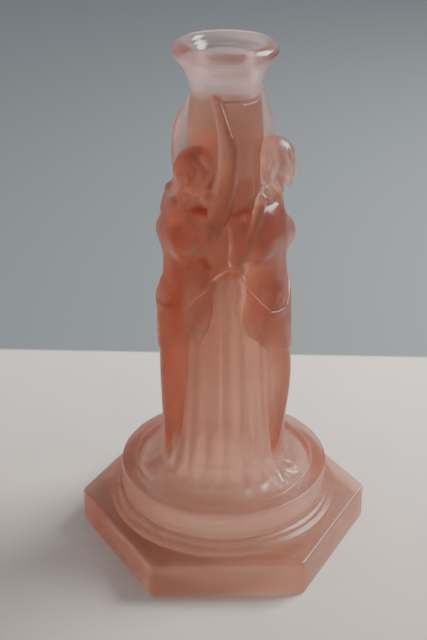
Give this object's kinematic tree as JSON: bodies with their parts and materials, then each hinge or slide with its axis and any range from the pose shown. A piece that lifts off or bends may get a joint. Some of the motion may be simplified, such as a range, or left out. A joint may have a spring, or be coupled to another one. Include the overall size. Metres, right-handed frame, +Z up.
{
  "type": "glass candlestick",
  "caption": "Figural glass candlestick: draped maidens with raised arms round a stem on a stepped six-sided foot, carrying a rolled-lip socket for one candle.",
  "frame": {"origin": "centre of the underside, on the surface it stands on", "axes": "+Z up along the stem to the candle socket, -Y to the front, where a flat of the foot and a drape fall"},
  "size_m": [0.1272, 0.1102, 0.22],
  "materials": {
    "foot_glass": "satin pressed glass, peach pink",
    "figure_glass": "satin pressed glass, peach pink, deeper where it is thick",
    "socket_glass": "satin pressed glass, pale pink"
  },
  "bodies": {
    "root": {"hex_foot": "foot_glass", "lower_step": "foot_glass", "plinth_drum": "foot_glass", "stem_core": "figure_glass", "candle_cup": "socket_glass", "socket_rim": "socket_glass", "right_maiden_feet": "figure_glass", "right_maiden_legs": "figure_glass", "right_maiden_torso": "figure_glass", "right_maiden_head": "figure_glass", "right_maiden_hair": "figure_glass", "right_maiden_right_arm": "figure_glass", "right_maiden_left_arm": "figure_glass", "rear_maiden_feet": "figure_glass", "rear_maiden_legs": "figure_glass", "rear_maiden_torso": "figure_glass", "rear_maiden_head": "figure_glass", "rear_maiden_hair": "figure_glass", "rear_maiden_right_arm": "figure_glass", "rear_maiden_left_arm": "figure_glass", "left_maiden_feet": "figure_glass", "left_maiden_legs": "figure_glass", "left_maiden_torso": "figure_glass", "left_maiden_head": "figure_glass", "left_maiden_hair": "figure_glass", "left_maiden_right_arm": "figure_glass", "left_maiden_left_arm": "figure_glass", "front_drape": "figure_glass", "rear_right_drape": "figure_glass", "rear_left_drape": "figure_glass"}
  },
  "joints": []
}
